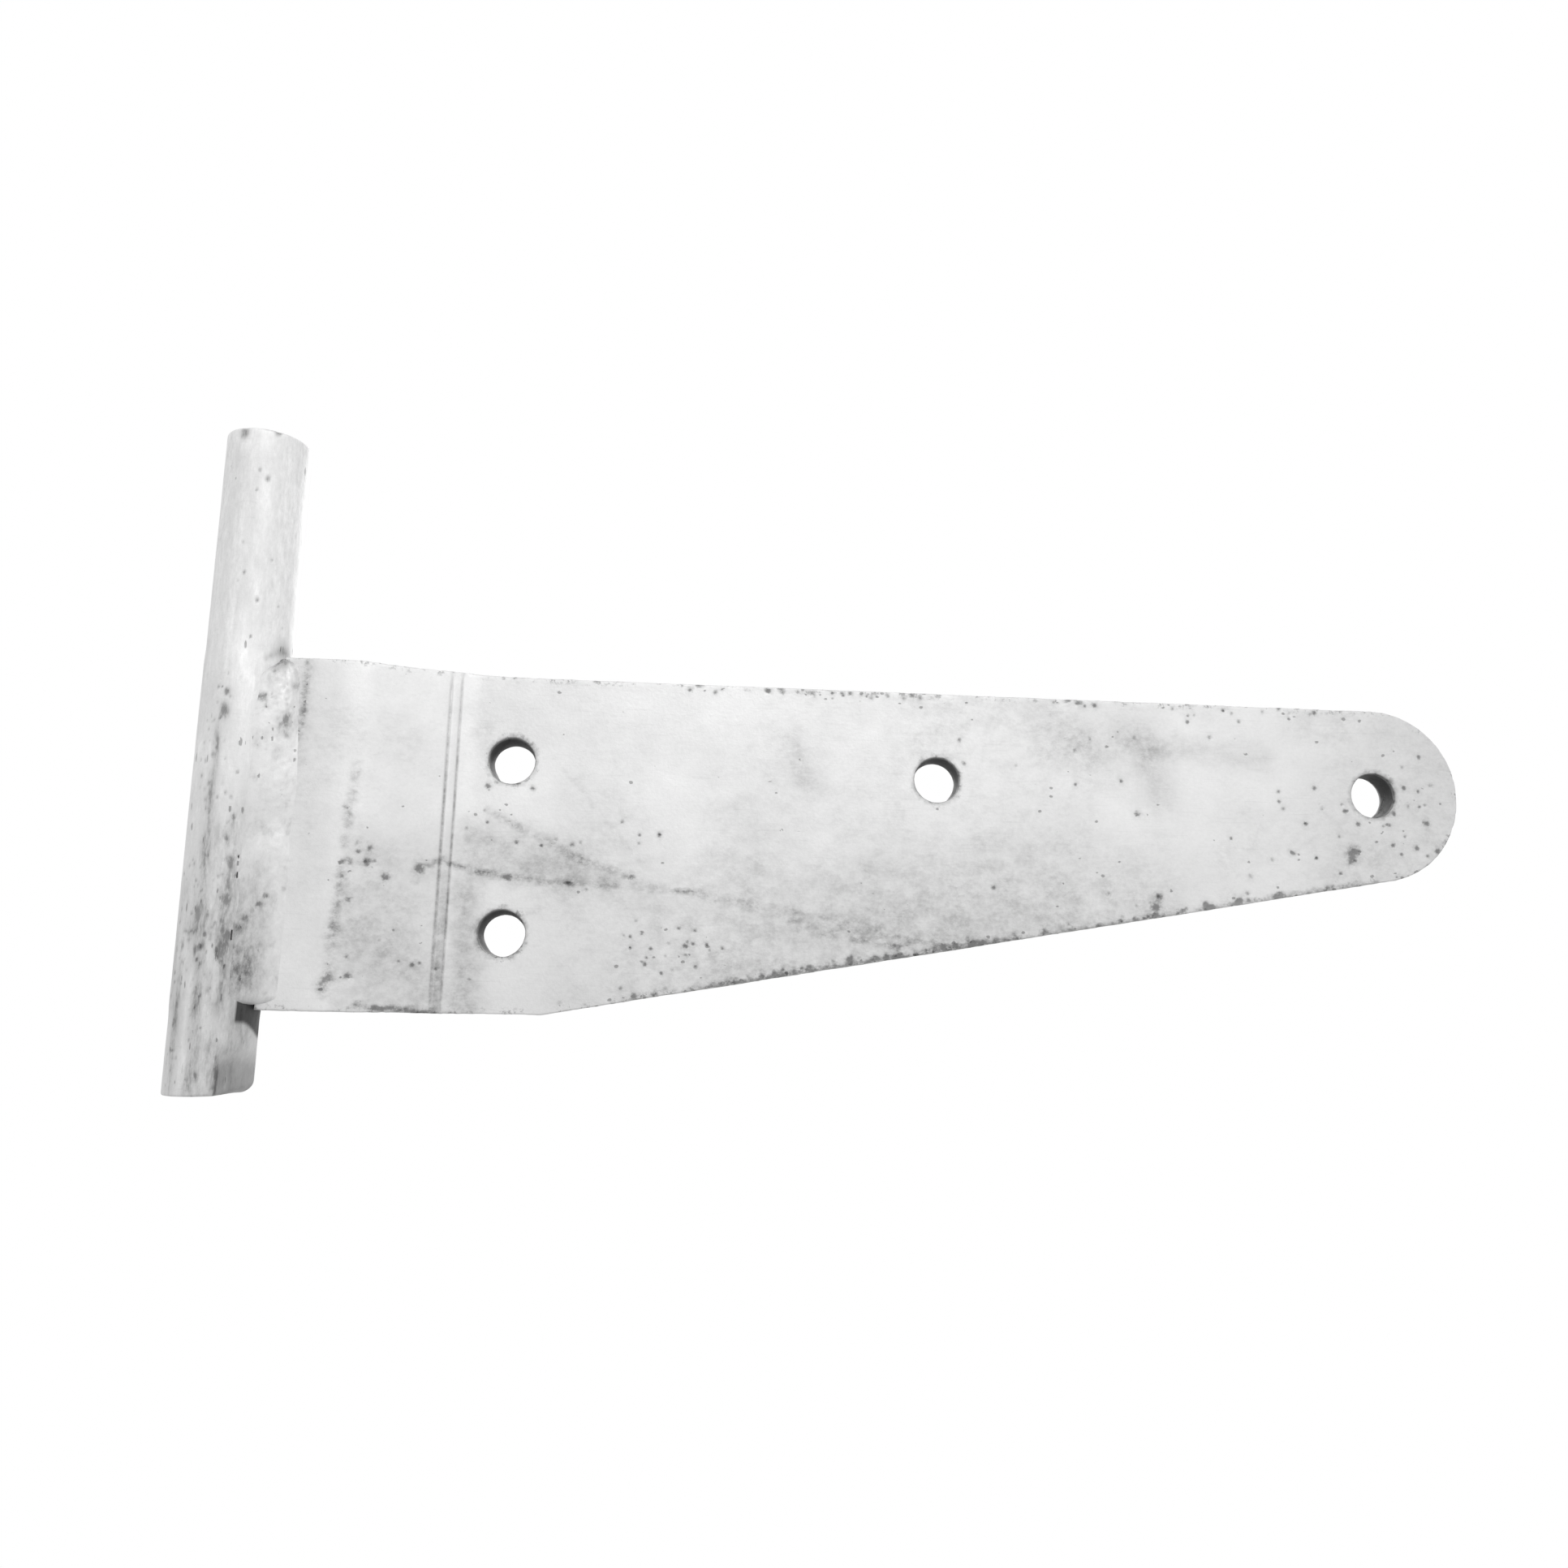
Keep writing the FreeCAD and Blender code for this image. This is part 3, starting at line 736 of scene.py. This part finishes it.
def cap(points, dirt_and_shade_points, rim, sign):
    """Close an end of the pin with sawn rings; sign says which way is into the metal."""
    edge = np.array([points[i] for i in rim])
    centre = edge.mean(0)
    outer, faces = rim, []
    for share in CAP_SHARES:
        ring = centre + (edge - centre) * share
        rough = waves(ring * (1, 1, 0), 2.2, 20 + sign, 3)
        saw = np.sin(ring[:, 1] * 5 + ring[:, 0] * 0.8)
        ring[:, 2] += sign * (0.10 + 0.05 * rough + 0.02 * saw) * smooth(1 - share, 0, 0.1)
        inner = np.arange(len(points), len(points) + len(rim))
        points += list(ring)
        dirt_and_shade_points += list(0.35 + 0.2 * rough)
        faces += ladder(inner, outer) if sign > 0 else ladder(outer, inner)
        outer = inner
    points.append(centre + Vector((0, 0, sign * 0.1)))
    dirt_and_shade_points.append(0.3)
    last = len(points) - 1
    for i in range(len(outer)):
        pair = (outer[i - 1], outer[i]) if sign < 0 else (outer[i], outer[i - 1])
        faces.append((pair[0], pair[1], last))
    return faces


# ---- the welds ----

WELD_ROWS, WELD_ACROSS = 260, 30
PIN_TOE, STRAP_TOE = 5.4, 14.6
LOW_END, HIGH_END = 2.4, 3.0
RIPPLE_PITCH = 2.3
# How far from the pin's axis the bead starts: just under the pin's skin.
PIN_SKIN = BARREL - 0.14
# Distance from the pin's axis and depth of the line the bead's ends close on, and of the two
# corners of its hidden side, inside plate and pin.
CORE = (9.4, 3.0)
BURIED = ((9.0, 2.6), (8.2, 4.6))

# Dark marks on the front bead: distance from the pin's axis, height, radius, strength.
WELD_MARKS = (
    (6.5, -11, 0.8, 1.0), (7.4, -10.4, 0.5, 0.6), (13.6, -7.5, 0.7, 0.7), (12.8, -20, 0.6, 0.5),
    (9.0, -6, 2.0, 0.2), (11.6, -17, 2.2, 0.25), (11.3, -59, 0.6, 0.9), (10.1, -61, 0.6, 0.9),
    (8.8, -62.4, 0.6, 0.4), (7.9, -64.4, 0.8, 0.6), (6.4, -66.8, 0.8, 0.6), (7.4, -72, 1.8, 0.14),
    (8.6, -76, 1.4, 0.14), (15.2, -50, 0.7, 0.25), (15.0, -57, 0.7, 0.25),
)


def make_weld(name, node, side, seed):
    """A lumpy fillet run between pin and plate; side is -1 on the open face, 1 behind."""
    low, high = WELD_LOW.z + 0.3, WELD_HIGH.z + 0.5
    levels = np.linspace(low, high, WELD_ROWS)
    lines = np.stack([levels, 0 * levels, 0 * levels], 1)

    # The line where the bead leaves the pin, the one where it meets the plate, how far it
    # bulges between them, and how much of it is left towards its ends.
    pin_toe = PIN_TOE + 0.6 * waves(lines, 9, seed, 1) + 3.6 * smooth(levels, high - 6, high)
    strap_toe = STRAP_TOE + 0.5 * waves(lines, 12, seed + 1, 1)
    knot = bell(levels - high + 10, 11)
    crown = 0.25 + 0.15 * waves(lines, 12, seed + 2, 1) + 1.1 * knot + 0.3 * bell(levels - low, 6)
    ends = np.sqrt(np.clip(1 - (1 - np.clip((levels - low) / LOW_END, 0, 1)) ** 2, 0, 1))
    ends *= np.sqrt(np.clip(1 - (1 - np.clip((high - levels) / HIGH_END, 0, 1)) ** 2, 0, 1))

    points, grime, shade, speckle = [], [], [], []
    hidden = [0] * len(BURIED)
    count = WELD_ACROSS + len(BURIED)
    shares = np.linspace(0, 1, WELD_ACROSS)
    for number, level in enumerate(levels):
        # A curve that leaves the pin along its surface and meets the plate at a low angle.
        on_pin = np.array((pin_toe[number], math.sqrt(PIN_SKIN ** 2 - pin_toe[number] ** 2)))
        on_strap = np.array((strap_toe[number] + 2.2 * (1 - knot[number]), HALF - 0.2))
        leave = (on_pin[1] - on_strap[1]) * on_pin[1] / on_pin[0]
        turn = np.array((min(on_pin[0] + leave, on_strap[0] - 1.5), on_strap[1]))
        chord = on_strap - on_pin
        out = np.array((-chord[1], chord[0])) / np.linalg.norm(chord)
        straight = ((1 - shares[:, None]) ** 2 * on_pin + shares[:, None] ** 2 * on_strap
                    + 2 * (shares * (1 - shares))[:, None] * turn)

        # Ripples and lumps on it, livelier near the top end.
        phase = (level + 2.4 * (2 * shares - 1) ** 2) / RIPPLE_PITCH
        spots = np.stack([shares * 13, np.full(WELD_ACROSS, level * 0.6),
                          np.full(WELD_ACROSS, seed)], 1)
        lumps = waves(spots, 3.0, seed + 3, 4)
        ripple = np.abs(np.sin(math.pi * phase)) * (0.5 + 0.5 * smooth(lumps, -0.5, 0.5))
        arch = np.sin(math.pi * shares) ** 2
        lively = 0.35 + 0.65 * knot[number]
        rise = arch * (crown[number] + lively * (0.03 * ripple + 0.34 * lumps))
        profile = straight + rise[:, None] * out
        profile = CORE + (profile - CORE) * (0.25 + 0.75 * ends[number])
        points += [(x, side * y, level) for x, y in list(profile) + list(BURIED)]

        # Darker in the bead's hollows; painted shade low on its pin side and along its toe at the
        # plate near the top end. dimmed is painted shade on the top end, which faces the lamps,
        # and on the lower pin side, and painted highlight along the lower end.
        soil_and_shade = (0.12 + 0.4 * lively * smooth(-lumps, 0.1, 0.7)
                + 0.15 * smooth(-level, 45, 80) * (1 - shares)
                + 0.6 * knot[number] * bell(shares - 1, 0.08))
        dimmed = (0.06 + 0.08 * smooth(-level, 15, 45) + 0.6 * bell(level - high, 4)
                  + 0.45 * smooth(-level, 42, 76) * (1 - smooth(shares, 0.2, 0.7))
                  - 0.3 * bell(level - low, 2.5))
        for x, z, radius, strength in WELD_MARKS:
            soil_and_shade += strength * bell(np.hypot(profile[:, 0] - x, level - z), radius) * (side < 0)
        grime += list(soil_and_shade) + hidden
        shade += list(dimmed) + hidden
        speckle += [0.06 + 0.2 * knot[number]] * count

    rows = [np.arange(i * count, (i + 1) * count) for i in range(WELD_ROWS)]
    faces = []
    for lower, upper in zip(rows, rows[1:]):
        faces += ladder(lower, upper) if side < 0 else ladder(upper, lower)
    for row, flip in ((rows[0], side < 0), (rows[-1], side > 0)):
        faces.append(tuple(row[::-1]) if flip else tuple(row))
    none = np.zeros(len(points))
    return new_piece(name, np.array(points), faces, "weld_zinc", node, grime=grime, shade=shade,
                     speckle=speckle, edge=none, soot=none)


# ---- materials ----

class Shading:
    """Adds nodes to a material and links them as it goes."""

    def __init__(self, name):
        self.material = bpy.data.materials.new(name)
        self.material.use_nodes = True
        self.tree = self.material.node_tree
        self.shader = self.tree.nodes["Principled BSDF"]
        self.place = self.node("ShaderNodeTexCoord").outputs["Object"]

    def node(self, kind, links=None, **settings):
        """A new node; each input named in links gets a link, or a constant set directly."""
        made = self.tree.nodes.new(kind)
        for key, value in settings.items():
            setattr(made, key, value)
        for key, value in (links or {}).items():
            if isinstance(value, bpy.types.NodeSocket):
                self.tree.links.new(value, made.inputs[key])
            else:
                made.inputs[key].default_value = value
        return made

    def math(self, operation, first, second=0.0):
        return self.node("ShaderNodeMath", {0: first, 1: second}, operation=operation).outputs[0]

    def remap(self, value, low, high, to_low, to_high):
        """The value rescaled: low becomes to_low, high becomes to_high, and it stops there."""
        return self.node("ShaderNodeMapRange", {
            "Value": value, "From Min": low, "From Max": high,
            "To Min": to_low, "To Max": to_high}).outputs["Result"]

    def stretched(self, stretch, turn=(0, 0, 0)):
        """Places whose patterns are drawn out along the axes with small numbers."""
        return self.node("ShaderNodeMapping", {
            "Vector": self.place, "Scale": stretch, "Rotation": turn}).outputs["Vector"]

    def cloud(self, length, detail=4.0, roughness=0.6, place=None):
        """Noise whose patches are about one length, in millimetres, across."""
        return self.node("ShaderNodeTexNoise", {
            "Vector": place or self.place, "Scale": 1 / (length * MM),
            "Detail": detail, "Roughness": roughness}).outputs[0]

    def specks(self, spacing, size, share, place=None):
        """1 in small spots: one cell in a share of the cells has a spot of up to size."""
        cells = self.node("ShaderNodeTexVoronoi", {
            "Vector": place or self.place, "Scale": 1 / (spacing * MM)})
        chosen = self.node("ShaderNodeSeparateColor", {"Color": cells.outputs["Color"]})
        picked = self.math("LESS_THAN", chosen.outputs[0], share)
        reach = self.math("MULTIPLY", chosen.outputs[1], size / spacing)
        spot = self.remap(self.math("SUBTRACT", reach, cells.outputs["Distance"]), 0, 0.12, 0, 1)
        return self.math("MULTIPLY", spot, picked)

    def unsettled(self, place, length, reach):
        """The same places, each pushed a little its own way, in millimetres."""
        push = self.node("ShaderNodeTexNoise", {
            "Vector": place, "Scale": 1 / (length * MM), "Detail": 2.0}).outputs[1]
        return self.node("ShaderNodeVectorMath", {
            0: push, 1: (reach * MM,) * 3, 2: place}, operation="MULTIPLY_ADD").outputs[0]

    def attribute(self, name):
        return self.node("ShaderNodeAttribute", attribute_name=name).outputs["Fac"]


CLOUDS = 0.04


def zinc(name, tone, stretch, flecked):
    """Dull hot-dip zinc: cloudy grey, streaked one way, specked, darker where dirt and painted
    shade lie.

    tone is the grey of clean zinc. stretch draws its streaks out: they are longest along the
    axis with the smallest number. flecked says how strong its fine unevenness is, as CLOUDS
    does for the broad one. The points of a piece carry the rest: grime is ragged
    darkening, mostly dirt and in places painted shade; shade an even greying, partly stains and
    partly painted shade and painted highlight; speckle the share of spotted cells, edge what is
    worn and soot the near-black painted shade of the holes' walls, of the shadow
    under the front weld and of the pin's lower flat.
    """
    s = Shading(name)
    grime, edge, soot = s.attribute("grime"), s.attribute("edge"), s.attribute("soot")
    shade, speckle = s.attribute("shade"), s.attribute("speckle")
    drawn_out = s.stretched(stretch)
    broad = s.cloud(34, 4, 0.55)
    mottle = s.cloud(4.5, 6, 0.7, drawn_out)
    grain = s.cloud(0.9, 3, 0.6)
    blotch = s.cloud(12, 6, 0.75, drawn_out)
    scratch = s.cloud(5, 2, 0.5, s.stretched((0.5, 9, 9), (0, math.radians(14), 0)))

    # Dirt and painted shade are drawn ragged, and where they lie the specks come closer together.
    fleck = s.cloud(1.5, 3, 0.75, drawn_out)
    ragged = s.math("MULTIPLY", s.math("MULTIPLY", grime, s.remap(mottle, 0.32, 0.62, 0.4, 1.5)),
                    s.remap(fleck, 0.34, 0.62, 0.45, 1.5))
    greyed = s.math("MULTIPLY", s.math("MULTIPLY", shade, s.remap(mottle, 0.32, 0.62, 0.6, 1.4)),
                    s.remap(fleck, 0.34, 0.62, 0.75, 1.25))
    crowd = s.math("MULTIPLY", s.math("ADD", speckle, s.remap(ragged, 0.3, 1.1, 0, 0.5)),
                   s.remap(s.cloud(7, 3, 0.6), 0.4, 0.62, 0.2, 1.6))
    uneven = s.unsettled(drawn_out, 0.9, 0.6)
    pits = s.math("MAXIMUM", s.specks(1.2, 0.5, crowd, uneven),
                  s.specks(3.1, 0.8, s.math("MULTIPLY", crowd, 0.45), uneven))
    nicks = s.math("MULTIPLY", s.remap(edge, 0.5, 1.0, 0, 1),
                   s.remap(s.cloud(2.4, 5, 0.8), 0.56, 0.63, 0, 1))

    # Each of these lightens or darkens what is under it: between low and high it goes from
    # the one share of the light to the other. ragged and greyed carry painted shade and painted
    # highlight as well as dirt and stains, and soot is painted shade alone.
    light = s.remap(broad, 0.3, 0.7, 1 - CLOUDS, 1 + CLOUDS)
    for value, low, high, at_low, at_high in (
            (mottle, 0.3, 0.7, 0.955, 1.035),
            (blotch, 0.3, 0.7, 0.965, 1.03),
            (grain, 0.25, 0.75, 0.97, 1.03),
            (fleck, 0.3, 0.66, 1 - flecked, 1 + flecked),
            (scratch, 0.62, 0.72, 1.0, 0.955),
            (ragged, 0.0, 1.1, 1.0, 0.42),
            (greyed, 0.0, 1.0, 1.0, 0.35),
            (pits, 0.0, 1.0, 1.0, 0.52),
            (nicks, 0.0, 1.0, 1.0, 0.5),
            (soot, 0.0, 1.0, 1.0, 0.04)):
        light = s.math("MULTIPLY", light, s.remap(value, low, high, at_low, at_high))
    light = s.math("MULTIPLY", light, tone)
    colour = s.node("ShaderNodeCombineColor", {0: light, 1: light, 2: light}).outputs[0]
    s.tree.links.new(colour, s.shader.inputs["Base Color"])

    # The ragged darkening, dirt and painted shade alike, is duller than clean zinc, and pits and
    # nicks are sunk.
    dull = s.math("ADD", s.remap(mottle, 0.25, 0.75, 0.46, 0.58), s.math("MULTIPLY", ragged, 0.25))
    s.tree.links.new(dull, s.shader.inputs["Roughness"])
    s.shader.inputs["Metallic"].default_value = 0.4

    relief = s.math("SUBTRACT", s.math("ADD", s.math("MULTIPLY", mottle, 0.4),
                                       s.math("MULTIPLY", grain, 0.2)),
                    s.math("MULTIPLY", s.math("ADD", pits, nicks), 0.3))
    bump = s.node("ShaderNodeBump", {"Height": relief, "Distance": 0.35 * MM, "Strength": 0.7})
    s.tree.links.new(bump.outputs["Normal"], s.shader.inputs["Normal"])
    return s.material


# ---- studio ----

# The camera that sees the object as the photo does: metres, degrees, and millimetres for a
# sensor 36 mm wide.
CAMERA_PLACE = (0.11927, -0.29991, -0.07199)
CAMERA_TURN = (98.573, -1.604, -3.174)
CAMERA_LENS = 27.635
# How far the floor lies under the object and how far the white sheets reach, in metres.
FLOOR_DROP, PAPER_REACH = 0.045, 6.0
# The sky's strength straight down and high up.
SKY_BELOW, SKY_ABOVE = 0.6, 0.8


def make_camera():
    data = bpy.data.cameras.new("camera")
    data.sensor_width = 36
    data.lens = CAMERA_LENS
    data.clip_start, data.clip_end = 0.01, 20
    camera = bpy.data.objects.new("camera", data)
    camera.location = CAMERA_PLACE
    camera.rotation_euler = [math.radians(a) for a in CAMERA_TURN]
    bpy.context.scene.collection.objects.link(camera)
    bpy.context.scene.camera = camera


def soft_light(name, power, size, place, target):
    """A rectangular lamp of power watts and size metres, at a place, facing a target."""
    data = bpy.data.lights.new(name, "AREA")
    data.shape = "RECTANGLE"
    data.size, data.size_y = size
    data.energy = power
    light = bpy.data.objects.new(name, data)
    light.location = place
    light.rotation_euler = (Vector(target) - Vector(place)).to_track_quat("-Z", "Y").to_euler()
    bpy.context.scene.collection.objects.link(light)


def white_paper(name):
    """Plain white, lit by itself, so that no shadow falls on it."""
    material = bpy.data.materials.new(name)
    material.use_nodes = True
    nodes = material.node_tree.nodes
    nodes.remove(nodes["Principled BSDF"])
    glow = nodes.new("ShaderNodeEmission")
    glow.inputs["Color"].default_value = (1, 1, 1, 1)
    glow.inputs["Strength"].default_value = 1.0
    material.node_tree.links.new(glow.outputs[0], nodes["Material Output"].inputs[0])
    return material


def backdrop(name, rows, radius_at, height_at, material):
    """A round sheet about the object's middle; only the camera sees it, so it adds no light.

    Each row of points lies at a share from 0 to 1, and the two functions turn that share
    into the row's radius and height.
    """
    centre = (cad_low + cad_high) / 2
    points, faces, sides = [], [], 64
    for row in range(rows):
        share = row / (rows - 1)
        for side in range(sides):
            turn = math.tau * side / sides
            points.append((centre.x + radius_at(share) * math.cos(turn),
                           centre.y + radius_at(share) * math.sin(turn), height_at(share)))
    for row in range(rows - 1):
        for side in range(sides):
            ahead = (side + 1) % sides
            faces.append((row * sides + side, row * sides + ahead,
                          (row + 1) * sides + ahead, (row + 1) * sides + side))
    mesh = bpy.data.meshes.new(name)
    mesh.from_pydata(points, [], faces)
    mesh.materials.append(material)
    sheet = bpy.data.objects.new(name, mesh)
    sheet.visible_diffuse = sheet.visible_glossy = False
    sheet.visible_transmission = sheet.visible_shadow = False
    bpy.context.scene.collection.objects.link(sheet)


def sky_over(tree):
    """White light from all round, a little dimmer from below."""
    facing = tree.nodes.new("ShaderNodeTexCoord").outputs["Generated"]
    parts = tree.nodes.new("ShaderNodeSeparateXYZ")
    ramp = tree.nodes.new("ShaderNodeMapRange")
    ramp.interpolation_type = "SMOOTHSTEP"
    for key, value in (("From Min", -1.0), ("From Max", 0.45), ("To Min", SKY_BELOW),
                       ("To Max", SKY_ABOVE)):
        ramp.inputs[key].default_value = value
    tree.links.new(facing, parts.inputs[0])
    tree.links.new(parts.outputs["Z"], ramp.inputs["Value"])
    tree.links.new(ramp.outputs["Result"], tree.nodes["Background"].inputs["Strength"])
    tree.nodes["Background"].inputs["Color"].default_value = (1, 1, 1, 1)


def make_studio():
    level = cad_low.z - FLOOR_DROP
    paper = white_paper("white_paper")
    backdrop("floor", 8, lambda share: PAPER_REACH * share, lambda share: level, paper)
    backdrop("backdrop", 24, lambda share: PAPER_REACH * math.cos(share * math.pi / 2),
             lambda share: level + PAPER_REACH * math.sin(share * math.pi / 2), paper)

    world = bpy.data.worlds.new("studio")
    world.use_nodes = True
    sky_over(world.node_tree)
    bpy.context.scene.world = world
    bpy.context.scene.view_settings.view_transform = "Standard"

    middle = (0.12, 0, -0.04)
    soft_light("key", 1.75, size=(0.35, 0.3), place=(0.22, -0.6, 0.42), target=middle)
    soft_light("front_fill", 0.6, size=(1.0, 1.0), place=(0.15, -1.1, 0.0), target=middle)
    soft_light("back_fill", 4, size=(0.9, 0.7), place=(0.2, 1.1, 0.35), target=middle)


# ---- build ----

make_camera()
make_studio()

plate_zinc = zinc("strap_zinc_look", 0.835, (0.8, 1.0, 1.1), flecked=0.025)
bar_zinc = zinc("pin_zinc_look", 0.865, (1.3, 1.3, 0.35), flecked=0.11)
bead_zinc = zinc("weld_zinc_look", 0.85, (1.2, 1.2, 0.6), flecked=0.07)

make_strap().data.materials.append(plate_zinc)
make_pin().data.materials.append(bar_zinc)
make_weld("front_weld_bead", "front_weld", side=-1, seed=31).data.materials.append(bead_zinc)
make_weld("rear_weld_bead", "rear_weld", side=1, seed=47).data.materials.append(bead_zinc)
